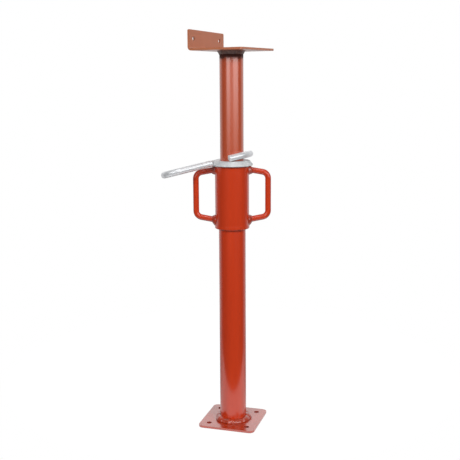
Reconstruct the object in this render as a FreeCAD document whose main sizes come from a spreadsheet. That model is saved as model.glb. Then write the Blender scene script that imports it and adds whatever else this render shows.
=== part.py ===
import FreeCAD, Part
import math
import os
import Sketcher
from FreeCAD import Vector

# Adjustable steel prop, in millimetres and degrees.
# The origin is the centre of the base plate's underside. Z runs up the tubes, and X and Y lie along the
# base plate's sides. The prop stands closed, with its pin drawn out and hanging round the inner tube.

SIZES = {
    # base plate
    "base_side": 130,
    "base_thickness": 5,
    "base_corner": 12,
    "base_hole_spacing": 88,
    "base_hole_diameter": 11,
    # outer tube and the weld at its foot
    "outer_diameter": 59.5,
    "outer_wall": 2.5,
    "outer_length": 583,
    "base_weld_leg": 11,
    "base_weld_height": 9,
    # adjusting sleeve, the nut that runs on the outer tube's thread
    "sleeve_diameter": 75,
    "sleeve_length": 139,
    "sleeve_headroom": 2,
    "sleeve_edge": 1.2,
    "thread_clearance": 0.3,
    "thread_land": 45,
    "sleeve_relief": 1.3,
    # handles of the sleeve
    "handle_turn": 17,
    "handle_rod": 12,
    "handle_reach": 79.3,
    "handle_bend": 19,
    "handle_top_drop": 9.5,
    "handle_top_slope": 10,
    "handle_bottom_rise": 18.5,
    "handle_bottom_slope": 11,
    "handle_cope": 4,
    "handle_weld_leg": 6,
    "handle_weld_root": 3,
    "handle_weld_toe": 0.6,
    "handle_weld_gap": 0.6,
    # washer between the sleeve and the pin
    "washer_diameter": 91.5,
    "washer_top_diameter": 78,
    "washer_thickness": 11,
    "washer_rim": 3,
    "washer_clearance": 0.4,
    # pin, bent like the letter G
    "pin_diameter": 14,
    "pin_turn": 40,
    "pin_tilt": 11.1,
    "pin_lean": 9.6,
    "pin_rest_gap": 0.3,
    "pin_tip_gap": 1,
    "pin_loop_gap": 1.4,
    "pin_back_gap": 1,
    "pin_bar_bend": 122.2,
    "pin_hook_centre": 0.4,
    "pin_front_tip": 19.8,
    # inner tube with its pin holes, counted down from the top
    "inner_diameter": 51.5,
    "inner_wall": 3,
    "inner_length": 830,
    "pin_hole_clearance": 2.5,
    "pin_hole_first": 281,
    "pin_hole_pitch": 100,
    # head plate, folded up along one side, and the weld under it
    "head_turn": -15.7,
    "head_side": 134,
    "head_thickness": 4.5,
    "head_upstand": 41.5,
    "head_bend": 8,
    "head_corner": 3,
    "head_hole_spacing": 88,
    "head_hole_diameter": 11,
    "upstand_hole_spacing": 100,
    "upstand_hole_height": 24,
    "upstand_hole_diameter": 8.5,
    "head_weld_leg": 5,
    "head_weld_height": 9,
}
PIN_HOLES = 5

# Heights and radii that several pieces share, as formulas of the sheet's cells.
SLEEVE_TOP = "({base_thickness} + {outer_length} + {sleeve_headroom})"
SLEEVE_BOTTOM = f"({SLEEVE_TOP} - {{sleeve_length}})"
WASHER_TOP = f"({SLEEVE_TOP} + {{washer_thickness}})"
INNER_TOP = "({base_thickness} + {inner_length})"
SLEEVE_RADIUS = "({sleeve_diameter} / 2)"
OUTER_RADIUS = "({outer_diameter} / 2)"
INNER_RADIUS = "({inner_diameter} / 2)"
PIN_RADIUS = "({pin_diameter} / 2)"

doc = FreeCAD.newDocument("AdjustableSteelProp")
sheet = doc.addObject("Spreadsheet::Sheet", "Sizes")
for row, (name, value) in enumerate(SIZES.items(), start=1):
    sheet.set(f"A{row}", name)
    sheet.set(f"B{row}", str(value))
    sheet.setAlias(f"B{row}", name)
doc.recompute()


def bound(formula):
    """Write a formula's {names} as references to the sheet's cells."""
    return formula.replace("{", "Sizes.").replace("}", "")


def bind(thing, name, formula):
    """Tie one property of an object to a formula."""
    thing.setExpression(name, bound(formula))


def place(thing, height="0", turn="0", tilt="0", lean="0"):
    """Stand an object at a height on the axis, turned about Z, then tilted about its own Y and X."""
    bind(thing, "Placement", f"placement(vector(0; 0; {height}); rotation({turn}; {tilt}; {lean}))")


def new_body(name):
    body = doc.addObject("PartDesign::Body", name)
    body.Label = name
    return body


def new_sketch(body, role, name):
    """Make a sketch on one of the body's own origin planes."""
    plane = next(feature for feature in body.Origin.OriginFeatures if feature.Role == role)
    sketch = body.newObject("Sketcher::SketchObject", name)
    sketch.AttachmentSupport = [(plane, "")]
    sketch.MapMode = "FlatFace"
    return sketch


def hold(sketch, kind, geometry, end, start_value, formula):
    """Hold one coordinate of a sketch point at a formula's value."""
    index = sketch.addConstraint(Sketcher.Constraint(kind, -1, 1, geometry, end, start_value))
    bind(sketch, f"Constraints[{index}]", formula)


def hold_point(sketch, geometry, end, start_point, across, up):
    hold(sketch, "DistanceX", geometry, end, start_point.x, across)
    hold(sketch, "DistanceY", geometry, end, start_point.y, up)


def polygon(sketch, corners):
    """Draw a closed outline through corners given as pairs of formulas."""
    count = len(corners)
    rough = []
    for corner in range(count):
        angle = 2 * math.pi * corner / count
        rough.append(Vector(100 + 50 * math.cos(angle), 100 + 50 * math.sin(angle), 0))
    for side in range(count):
        sketch.addGeometry(Part.LineSegment(rough[side], rough[(side + 1) % count]), False)
    for side in range(count):
        sketch.addConstraint(Sketcher.Constraint("Coincident", side, 2, (side + 1) % count, 1))
    for side, (across, up) in enumerate(corners):
        hold_point(sketch, side, 1, rough[side], across, up)


def circles(sketch, centres, diameter):
    """Draw equal circles at centres given as pairs of formulas."""
    for number, (across, up) in enumerate(centres):
        rough = Vector(20 * number + 10, 20 * number + 10, 0)
        circle = sketch.addGeometry(Part.Circle(rough, Vector(0, 0, 1), 5), False)
        hold_point(sketch, circle, 3, rough, across, up)
        index = sketch.addConstraint(Sketcher.Constraint("Diameter", circle, 10))
        bind(sketch, f"Constraints[{index}]", diameter)


def bent_path(sketch, runs, bends):
    """Draw straight runs joined by bends that turn clockwise.

    Each run has two ends, each a rough place with its two formulas. Each bend has the rough place of its
    centre and the formula for how far across that centre lies.
    """
    lines = []
    for ends in runs:
        start, finish = (Vector(*rough, 0) for rough, across, up in ends)
        line = sketch.addGeometry(Part.LineSegment(start, finish), False)
        lines.append(line)
        for end, (rough, across, up) in enumerate(ends, start=1):
            hold_point(sketch, line, end, Vector(*rough, 0), across, up)
    for number, (rough, across) in enumerate(bends):
        centre = Vector(*rough, 0)
        arc_start = Vector(*runs[number + 1][0][0], 0) - centre
        arc_end = Vector(*runs[number][1][0], 0) - centre
        first = math.atan2(arc_start.y, arc_start.x)
        last = math.atan2(arc_end.y, arc_end.x)
        if last <= first:
            last += 2 * math.pi
        circle = Part.Circle(centre, Vector(0, 0, 1), arc_start.Length)
        arc = sketch.addGeometry(Part.ArcOfCircle(circle, first, last), False)
        sketch.addConstraint(Sketcher.Constraint("Coincident", arc, 1, lines[number + 1], 1))
        sketch.addConstraint(Sketcher.Constraint("Coincident", arc, 2, lines[number], 2))
        hold(sketch, "DistanceX", arc, 3, centre.x, across)


def turned(name, corners):
    """Turn an outline of radius and height formulas about the Z axis."""
    body = new_body(name)
    sketch = new_sketch(body, "XZ_Plane", name + "_outline")
    polygon(sketch, corners)
    revolution = body.newObject("PartDesign::Revolution", name + "_turning")
    revolution.Profile = sketch
    revolution.ReferenceAxis = (sketch, ["V_Axis"])
    revolution.Angle = 360
    return body


def pad(body, sketch, length, symmetric=False):
    feature = body.newObject("PartDesign::Pad", sketch.Name + "_pad")
    feature.Profile = sketch
    feature.SideType = "Symmetric" if symmetric else "One side"
    bind(feature, "Length", length)
    return feature


def pocket(body, sketch, length, symmetric=False, reversed_cut=False):
    feature = body.newObject("PartDesign::Pocket", sketch.Name + "_cut")
    feature.Profile = sketch
    feature.SideType = "Symmetric" if symmetric else "One side"
    feature.Reversed = reversed_cut
    bind(feature, "Length", length)
    return feature


def round_edges(body, base, name, radius, wanted):
    """Round those edges of a feature that a test picks out, by their middle point and direction."""
    doc.recompute()
    names = []
    for number, edge in enumerate(base.Shape.Edges, start=1):
        if len(edge.Vertexes) != 2:
            continue
        first, last = (vertex.Point for vertex in edge.Vertexes)
        if wanted((first + last) * 0.5, last - first):
            names.append(f"Edge{number}")
    feature = body.newObject("PartDesign::Fillet", name)
    feature.Base = (base, names)
    bind(feature, "Radius", radius)
    return feature


def swept_rod(name, diameter, profile_role, start_offset, path_role, runs, bends):
    """Sweep a round bar along a bent path, from a profile that stands across the path's start."""
    body = new_body(name)
    path = new_sketch(body, path_role, name + "_path")
    bent_path(path, runs, bends)
    profile = new_sketch(body, profile_role, name + "_section")
    circles(profile, [start_offset[1:]], diameter)
    bind(profile, "AttachmentOffset.Base.z", start_offset[0])
    doc.recompute()
    sweep = body.newObject("PartDesign::AdditivePipe", name + "_sweep")
    sweep.Profile = profile
    sweep.Spine = (path, [f"Edge{number + 1}" for number in range(len(runs) + len(bends))])
    sweep.Mode = "Frenet"
    return body


def make_cut(name, base, tool):
    cut = doc.addObject("Part::Cut", name)
    cut.Base = base
    cut.Tool = tool
    cut.Label = name
    return cut


def square_of(spacing):
    """Give the four corners of a square hole pattern as formulas."""
    half = f"{spacing} / 2"
    return [(f"{x}({half})", f"{y}({half})") for x in ("", "-") for y in ("", "-")]


def make_base_plate():
    """The square foot, with a bolt hole near each corner."""
    body = new_body("base_plate")
    outline = new_sketch(body, "XY_Plane", "base_outline")
    polygon(outline, [
        ("-{base_side} / 2", "-{base_side} / 2"),
        ("{base_side} / 2", "-{base_side} / 2"),
        ("{base_side} / 2", "{base_side} / 2"),
        ("-{base_side} / 2", "{base_side} / 2"),
    ])
    plate = pad(body, outline, "{base_thickness}")
    round_edges(body, plate, "base_corners", "{base_corner}", lambda middle, along: abs(along.z) > 1)
    holes = new_sketch(body, "XY_Plane", "base_holes")
    circles(holes, square_of("{base_hole_spacing}"), "{base_hole_diameter}")
    pocket(body, holes, "3 * {base_thickness}", symmetric=True)
    return body


def make_outer_tube():
    """The standing tube, welded on the base plate."""
    top = "{base_thickness} + {outer_length}"
    return turned("outer_tube", [
        (f"{OUTER_RADIUS} - {{outer_wall}}", "{base_thickness}"),
        (OUTER_RADIUS, "{base_thickness}"),
        (OUTER_RADIUS, top),
        (f"{OUTER_RADIUS} - {{outer_wall}}", top),
    ])


def weld_ring(name, radius, seat, leg, rise):
    """A hollow-faced fillet weld round a tube, standing on a plate or hanging under one."""
    return turned(name, [
        (radius, seat),
        (f"{radius} + {leg}", seat),
        (f"{radius} + {leg}", f"{seat} + {rise} * 0.12"),
        (f"{radius} + {leg} * 0.55", f"{seat} + {rise} * 0.62"),
        (f"{radius} + {leg} * 0.12", f"{seat} + {rise}"),
        (radius, f"{seat} + {rise}"),
    ])


def make_adjusting_sleeve():
    """The long nut: a close thread land low down, and a relieved bore above it."""
    land = f"{OUTER_RADIUS} + {{thread_clearance}}"
    relief = f"{land} + {{sleeve_relief}}"
    return turned("adjusting_sleeve", [
        (land, SLEEVE_BOTTOM),
        (f"{SLEEVE_RADIUS} - {{sleeve_edge}}", SLEEVE_BOTTOM),
        (SLEEVE_RADIUS, f"{SLEEVE_BOTTOM} + {{sleeve_edge}}"),
        (SLEEVE_RADIUS, f"{SLEEVE_TOP} - {{sleeve_edge}}"),
        (f"{SLEEVE_RADIUS} - {{sleeve_edge}}", SLEEVE_TOP),
        (relief, SLEEVE_TOP),
        (relief, f"{SLEEVE_BOTTOM} + {{thread_land}} + {{sleeve_relief}}"),
        (land, f"{SLEEVE_BOTTOM} + {{thread_land}}"),
    ])


HANDLE_TOP = f"({SLEEVE_TOP} - {{handle_top_drop}})"
HANDLE_BOTTOM = f"({SLEEVE_BOTTOM} + {{handle_bottom_rise}})"


def make_handle_bar(name, turn):
    """A round bar bent to a D that stands out from the sleeve, still uncut at its ends."""
    reach = "{handle_reach}"
    stand_off = f"({reach} - {SLEEVE_RADIUS})"
    top_corner = f"({HANDLE_TOP} - {stand_off} * tan({{handle_top_slope}}))"
    bottom_corner = f"({HANDLE_BOTTOM} + {stand_off} * tan({{handle_bottom_slope}}))"
    top_tangent = "({handle_bend} * tan((90 - {handle_top_slope}) / 2))"
    bottom_tangent = "({handle_bend} * tan((90 - {handle_bottom_slope}) / 2))"
    inner_end = f"({SLEEVE_RADIUS} - {{handle_cope}})"
    bend_centre = f"{reach} - {{handle_bend}}"
    start_height = f"({HANDLE_TOP} + {{handle_cope}} * tan({{handle_top_slope}}))"
    runs = [
        (
            ((33.5, 581.7), inner_end, start_height),
            ((63.4, 576.7), f"{reach} - {top_tangent} * cos({{handle_top_slope}})",
             f"{top_corner} + {top_tangent} * sin({{handle_top_slope}})"),
        ),
        (
            ((79.3, 557.9), reach, f"{top_corner} - {top_tangent}"),
            ((79.3, 493.3), reach, f"{bottom_corner} + {bottom_tangent}"),
        ),
        (
            ((63.9, 474.6), f"{reach} - {bottom_tangent} * cos({{handle_bottom_slope}})",
             f"{bottom_corner} - {bottom_tangent} * sin({{handle_bottom_slope}})"),
            ((33.5, 468.7), inner_end, f"{HANDLE_BOTTOM} - {{handle_cope}} * tan({{handle_bottom_slope}})"),
        ),
    ]
    bends = [((60.3, 557.9), bend_centre), ((60.3, 493.3), bend_centre)]
    start = (inner_end, "0", start_height)
    body = swept_rod(name, "{handle_rod}", "YZ_Plane", start, "XZ_Plane", runs, bends)
    place(body, turn=turn)
    return body


def make_weld_cone(name, turn, height, slope):
    """A cone of weld round a handle's bar, turned about that bar's own axis."""
    body = new_body(name)
    sketch = new_sketch(body, "XZ_Plane", name + "_outline")
    rod = "{handle_rod} / 2"
    outline = [
        ("-{handle_weld_root}", "0"),
        ("{handle_weld_leg}", "0"),
        ("{handle_weld_leg}", f"({rod} + {{handle_weld_toe}})"),
        ("{handle_weld_leg} * 0.35", f"({rod} + {{handle_weld_leg}} * 0.45)"),
        ("0", f"({rod} + {{handle_weld_leg}})"),
        ("-{handle_weld_root}", f"({rod} + {{handle_weld_leg}})"),
    ]
    corners = []
    for along, off in outline:
        across = f"{SLEEVE_RADIUS} + {along} * cos({slope}) + {off} * sin({slope})"
        up = f"{height} - {along} * sin({slope}) + {off} * cos({slope})"
        corners.append((across, up))
    polygon(sketch, corners)
    doc.recompute()
    cone = body.newObject("PartDesign::Revolution", name + "_turning")
    cone.Profile = sketch
    cone.ReferenceAxis = (sketch, ["Edge1"])
    cone.Angle = 360
    place(body, turn=turn)
    return body


def make_handle_set(side, turn, sleeve_solid, weld_limit):
    """One handle, coped to the sleeve, with the welds at its two ends."""
    bar = make_handle_bar(side + "_bar", turn)
    handle = make_cut(side + "_handle", bar, sleeve_solid)
    upper = make_weld_cone(side + "_upper_cone", turn, HANDLE_TOP, "{handle_top_slope}")
    lower = make_weld_cone(side + "_lower_cone", turn, HANDLE_BOTTOM, "(-{handle_bottom_slope})")
    cones = doc.addObject("Part::Compound", side + "_cones")
    cones.Links = [upper, lower]
    outside = make_cut(side + "_cones_outside", cones, weld_limit)
    welds = make_cut(side + "_handle_welds", outside, bar)
    return handle, welds


def make_sleeve_solids():
    """Two tools for the handles: the sleeve's envelope, and the same with the room the washer needs."""
    sleeve_solid = doc.addObject("Part::Cylinder", "sleeve_envelope")
    bind(sleeve_solid, "Radius", SLEEVE_RADIUS)
    bind(sleeve_solid, "Height", "{sleeve_length}")
    place(sleeve_solid, height=SLEEVE_BOTTOM)
    washer_room = doc.addObject("Part::Cylinder", "washer_room")
    bind(washer_room, "Radius", "{washer_diameter}")
    bind(washer_room, "Height", "{washer_thickness} * 4")
    place(washer_room, height=f"{SLEEVE_TOP} - {{handle_weld_gap}}")
    weld_limit = doc.addObject("Part::MultiFuse", "weld_limit")
    weld_limit.Shapes = [sleeve_solid, washer_room]
    return sleeve_solid, weld_limit


def make_support_washer():
    """The thick washer that lies on the sleeve and carries the pin."""
    bore = f"{INNER_RADIUS} + {{washer_clearance}}"
    return turned("support_washer", [
        (bore, SLEEVE_TOP),
        ("{washer_diameter} / 2", SLEEVE_TOP),
        ("{washer_diameter} / 2", f"{SLEEVE_TOP} + {{washer_rim}}"),
        ("{washer_top_diameter} / 2", WASHER_TOP),
        (bore, WASHER_TOP),
    ])


def make_g_pin():
    """The pin, one bent bar: a locking bar, a back leg, and a hook round the inner tube.

    It hangs tilted, with its front tip just over the washer and its bar's tip outside the washer's rim.
    """
    front = f"({INNER_RADIUS} + {PIN_RADIUS} + {{pin_loop_gap}})"
    back = f"(({{washer_diameter}} / 2 + {PIN_RADIUS} + {{pin_back_gap}}) / cos({{pin_lean}}))"
    tip_room = f"{{washer_diameter}} / 2 + {{pin_tip_gap}} + {PIN_RADIUS} * sin({{pin_tilt}})"
    bar_tip = f"(({tip_room}) / cos({{pin_tilt}}))"
    bar_bend = "-{pin_bar_bend}"
    hook = "{pin_hook_centre}"
    runs = [
        (((-49, 0), f"-{bar_tip}", "0"), ((-122, 0), bar_bend, "0")),
        (((-122, 55), bar_bend, back), ((0.4, 55), hook, back)),
        (((0.4, -33), hook, f"-{front}"), ((-20, -33), "-{pin_front_tip}", f"-{front}")),
    ]
    bends = [((-122, 27.5), bar_bend), ((0.4, 11), hook)]
    start = (f"-{bar_tip}", "0", "0")
    body = swept_rod("g_pin", "{pin_diameter}", "YZ_Plane", start, "XY_Plane", runs, bends)
    tip_drop = f"{{pin_front_tip}} * sin({{pin_tilt}})"
    tip_rise = f"{front} * sin({{pin_lean}}) * cos({{pin_tilt}})"
    height = f"{WASHER_TOP} + {{pin_rest_gap}} + {PIN_RADIUS} * cos({{pin_tilt}}) + {tip_drop} - {tip_rise}"
    place(body, height=height, turn="{pin_turn}", tilt="-{pin_tilt}", lean="-{pin_lean}")
    return body


def make_inner_tube():
    """The sliding tube, drilled through for the pin along its own X axis."""
    body = new_body("inner_tube")
    rings = new_sketch(body, "XY_Plane", "inner_rings")
    circles(rings, [("0", "0")], "{inner_diameter}")
    bore = new_sketch(body, "XY_Plane", "inner_bore")
    circles(bore, [("0", "0")], "{inner_diameter} - 2 * {inner_wall}")
    pad(body, rings, "{inner_length}")
    pocket(body, bore, "3 * {inner_length}", symmetric=True)
    holes = new_sketch(body, "YZ_Plane", "pin_holes")
    places = []
    for number in range(PIN_HOLES):
        places.append(("0", f"{{inner_length}} - {{pin_hole_first}} - {number} * {{pin_hole_pitch}}"))
    circles(holes, places, "{pin_diameter} + {pin_hole_clearance}")
    pocket(body, holes, "2 * {inner_diameter}", symmetric=True)
    place(body, height="{base_thickness}", turn="{pin_turn}")
    return body


def make_head_plate():
    """The square head, folded up along one side, with bolt holes in the flat and nail holes in the fold."""
    body = new_body("head_plate")
    half = "{head_side} / 2"
    fold = f"-{half} + {{head_thickness}}"
    section = new_sketch(body, "XZ_Plane", "head_section")
    polygon(section, [
        (f"-{half}", "0"),
        (half, "0"),
        (half, "{head_thickness}"),
        (fold, "{head_thickness}"),
        (fold, "{head_upstand}"),
        (f"-{half}", "{head_upstand}"),
    ])
    plate = pad(body, section, "{head_side}", symmetric=True)

    def is_fold_edge(height):
        return lambda middle, along: abs(along.y) > 1 and middle.x < 0 and abs(middle.z - height) < 0.01

    outer = round_edges(body, plate, "fold_outside", "{head_bend}", is_fold_edge(0))
    inner = round_edges(body, outer, "fold_inside", "{head_bend} - {head_thickness}",
                        is_fold_edge(SIZES["head_thickness"]))

    def is_free_corner(middle, along):
        at_front = middle.x > 0 and abs(along.z) > 0.1 and abs(along.x) < 0.01
        at_top = middle.z > SIZES["head_upstand"] - 1 and abs(along.x) > 0.1 and abs(along.y) < 0.01
        return at_front or at_top

    round_edges(body, inner, "head_corners", "{head_corner}", is_free_corner)
    bolt_holes = new_sketch(body, "XY_Plane", "head_bolt_holes")
    circles(bolt_holes, square_of("{head_hole_spacing}"), "{head_hole_diameter}")
    pocket(body, bolt_holes, "4 * {head_thickness}", symmetric=True)
    nail_holes = new_sketch(body, "YZ_Plane", "upstand_holes")
    spots = [(f"{sign}({{upstand_hole_spacing}} / 2)", "{upstand_hole_height}") for sign in ("", "-")]
    circles(nail_holes, spots, "{upstand_hole_diameter}")
    pocket(body, nail_holes, "{head_side}")
    place(body, height=INNER_TOP, turn="{head_turn}")
    return body


def make_prop():
    """Make every piece, and list those that are handed on."""
    sleeve_solid, weld_limit = make_sleeve_solids()
    right_handle, right_welds = make_handle_set("right", "{handle_turn}", sleeve_solid, weld_limit)
    left_handle, left_welds = make_handle_set("left", "({handle_turn} + 180)", sleeve_solid, weld_limit)
    base_weld = weld_ring("base_weld", OUTER_RADIUS, "{base_thickness}", "{base_weld_leg}", "{base_weld_height}")
    head_weld = weld_ring("head_weld", INNER_RADIUS, INNER_TOP, "{head_weld_leg}", "(-{head_weld_height})")
    return [
        make_base_plate(),
        make_outer_tube(),
        base_weld,
        make_adjusting_sleeve(),
        left_handle,
        right_handle,
        left_welds,
        right_welds,
        make_support_washer(),
        make_g_pin(),
        make_inner_tube(),
        make_head_plate(),
        head_weld,
    ]


nodes = make_prop()
doc.recompute()
for thing in doc.Objects:
    if "Invalid" in thing.State or "Error" in thing.State:
        raise RuntimeError(f"{thing.Label} did not recompute: {thing.State}")
for node in nodes:
    if node.Shape.isNull() or not node.Shape.isValid():
        raise RuntimeError(f"{node.Label} has no valid shape")
    if node.Shape.Volume <= 0:
        raise RuntimeError(f"{node.Label} has no volume")

os.makedirs("parts", exist_ok=True)
for node in nodes:
    node.Shape.exportStep(f"parts/{node.Label}.step")
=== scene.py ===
import math

import bpy
from bpy.props import FloatProperty, FloatVectorProperty, IntProperty, PointerProperty
from mathutils import Matrix, Vector, noise


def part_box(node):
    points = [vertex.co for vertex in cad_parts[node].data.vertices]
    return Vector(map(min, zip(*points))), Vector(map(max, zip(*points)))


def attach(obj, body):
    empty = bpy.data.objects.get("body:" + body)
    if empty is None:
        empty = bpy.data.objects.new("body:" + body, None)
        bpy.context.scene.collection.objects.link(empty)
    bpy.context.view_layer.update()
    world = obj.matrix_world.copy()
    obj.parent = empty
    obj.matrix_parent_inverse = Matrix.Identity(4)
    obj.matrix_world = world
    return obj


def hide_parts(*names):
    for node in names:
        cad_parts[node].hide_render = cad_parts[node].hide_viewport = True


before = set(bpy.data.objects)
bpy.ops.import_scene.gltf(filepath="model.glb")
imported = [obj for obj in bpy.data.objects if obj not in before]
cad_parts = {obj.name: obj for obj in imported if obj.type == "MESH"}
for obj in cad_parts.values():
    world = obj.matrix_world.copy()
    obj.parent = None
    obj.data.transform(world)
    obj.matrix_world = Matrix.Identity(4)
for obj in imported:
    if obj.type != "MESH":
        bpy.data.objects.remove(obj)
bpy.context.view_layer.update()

bl_info = {
    "name": "Adjustable Steel Prop",
    "version": (1, 0, 0),
    "blender": (4, 5, 0),
    "location": "View3D > Sidebar > Steel Prop",
    "description": "Dresses a telescopic steel prop with its paint, zinc, welds and thread",
    "category": "Object",
}

MM = 0.001


# Heights that the pieces share, read from the frame in metres

def low_of(node):
    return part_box(node)[0].z


def high_of(node):
    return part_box(node)[1].z


SLEEVE_BOTTOM = low_of("adjusting_sleeve")
SLEEVE_TOP = high_of("adjusting_sleeve")
WASHER_TOP = high_of("support_washer")
PLATE_TOP = high_of("base_plate")
HEAD_UNDERSIDE = low_of("head_plate")
HEAD_TOP = high_of("head_plate")

# Small sizes of single pieces

SLEEVE_RADIUS = 37.5 * MM
SLEEVE_RIM = 7 * MM
SLEEVE_RIM_END = 11 * MM
SLEEVE_ROUNDING = 1.2 * MM
WASHER_RIM = 3 * MM
WASHER_TOP_RADIUS = 39 * MM
WASHER_ROUNDING = 0.9 * MM
WASHER_PLAY = 0.4 * MM
PIN_ROUNDING = 1.0 * MM
PIN_TUBE_GAP = 1.4 * MM
PIN_WASHER_GAP = 1 * MM
PIN_REST_GAP = 0.3 * MM
HANDLE_COPE = 3 * MM
HANDLE_BEAD_REACH = 8 * MM
FOOT_BEAD_LEGS = (11 * MM, 9 * MM)
FOOT_BEAD_STEP = 0.6 * MM
HEAD_BEAD_LEGS = (4.4 * MM, 7.6 * MM)
BEAD_DIP = 1.6 * MM
UPSTAND_FOLD = 6 * MM
HOLE_MARGIN = 0.2 * MM
SAME_POINT = 1e-6

NODE_FINISHES = {"support_washer": "satin_zinc", "g_pin": "bright_zinc", "inner_tube": "satin_red"}


class PropSizes(bpy.types.PropertyGroup):
    """Sizes of the prop's visible detail."""

    thread_pitch: FloatProperty(
        name="Thread pitch", description="Rise of the rolled thread in one turn",
        default=8 * MM, unit="LENGTH")
    thread_depth: FloatProperty(
        name="Thread depth", description="Depth of the rolled thread's hollows",
        default=1.3 * MM, unit="LENGTH")
    thread_length: FloatProperty(
        name="Thread length", description="Length of the thread, down from the outer tube's top",
        default=130 * MM, unit="LENGTH")
    outer_diameter: FloatProperty(
        name="Outer tube diameter", description="Outside of the standing tube", default=59.5 * MM,
        unit="LENGTH")
    outer_wall: FloatProperty(
        name="Outer tube wall", description="Wall of the standing tube", default=2.5 * MM, unit="LENGTH")
    inner_diameter: FloatProperty(
        name="Inner tube diameter", description="Outside of the sliding tube", default=51.5 * MM,
        unit="LENGTH")
    sleeve_bore: FloatProperty(
        name="Sleeve bore", description="Radius of the sleeve's bore", default=30.05 * MM, unit="LENGTH")
    sleeve_lip: FloatProperty(
        name="Sleeve lip", description="How far the sleeve's lower rim stands proud", default=0.8 * MM,
        unit="LENGTH")
    edge_round: FloatProperty(
        name="Edge rounding", description="Rounding that paint gives to a cut edge", default=0.7 * MM,
        unit="LENGTH")
    base_hole: FloatProperty(
        name="Base hole", description="Diameter of the base plate's bolt holes", default=11 * MM,
        unit="LENGTH")
    base_hole_spacing: FloatProperty(
        name="Base hole spacing", description="Between the base plate's bolt holes", default=88 * MM,
        unit="LENGTH")
    head_turn: FloatProperty(
        name="Head turn", description="Turn of the head about the axis", default=math.radians(-15.7),
        subtype="ANGLE")
    upstand_lift: FloatProperty(
        name="Upstand lift", description="Mean rise of the upstand's cut edge", default=0.85 * MM,
        unit="LENGTH")
    upstand_skew: FloatProperty(
        name="Upstand skew", description="Slope of the upstand's cut edge, up towards its near end",
        default=0.0276)
    handle_rod: FloatProperty(
        name="Handle bar", description="Diameter of the handles' painted bar", default=13 * MM, unit="LENGTH")
    handle_reach: FloatProperty(
        name="Handle reach", description="From the axis to the middle of a handle's upright bar",
        default=79.3 * MM, unit="LENGTH")
    handle_bend: FloatProperty(
        name="Handle bend", description="Radius of the handles' bends", default=14.5 * MM, unit="LENGTH")
    handle_top_drop: FloatProperty(
        name="Handle top drop", description="From the sleeve's top down to a handle's upper end",
        default=9.5 * MM, unit="LENGTH")
    handle_bottom_rise: FloatProperty(
        name="Handle bottom rise", description="From the sleeve's bottom up to a handle's lower end",
        default=18.5 * MM, unit="LENGTH")
    handle_top_slope: FloatProperty(
        name="Handle top slope", description="Fall of a handle's upper bar", default=math.radians(10),
        subtype="ANGLE")
    handle_bottom_slope: FloatProperty(
        name="Handle bottom slope", description="Rise of a handle's lower bar", default=math.radians(11),
        subtype="ANGLE")
    handle_turn: FloatProperty(
        name="Handle turn", description="Turn of the handles about the axis", default=math.radians(17),
        subtype="ANGLE")
    pin_diameter: FloatProperty(
        name="Pin bar", description="Diameter of the pin's bar", default=14 * MM, unit="LENGTH")
    pin_bar_bend: FloatProperty(
        name="Pin far bend", description="From the axis out to the pin's far bend", default=122.2 * MM,
        unit="LENGTH")
    pin_hook_centre: FloatProperty(
        name="Pin hook centre", description="From the axis to the middle of the pin's hook", default=0.4 * MM,
        unit="LENGTH")
    pin_front_tip: FloatProperty(
        name="Pin front tip", description="From the axis to the pin's front end", default=19.8 * MM,
        unit="LENGTH")
    pin_turn: FloatProperty(
        name="Pin turn", description="Turn of the pin about the axis", default=math.radians(40),
        subtype="ANGLE")
    pin_tilt: FloatProperty(
        name="Pin tilt", description="Slope of the hanging pin", default=math.radians(10.6), subtype="ANGLE")
    pin_lean: FloatProperty(
        name="Pin lean", description="Sideways slope of the hanging pin", default=math.radians(11.0),
        subtype="ANGLE")
    washer_radius: FloatProperty(
        name="Washer radius", description="Outside of the washer", default=45.75 * MM, unit="LENGTH")
    round_steps: IntProperty(
        name="Round steps", description="Sides of a turned piece", default=128)


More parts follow.
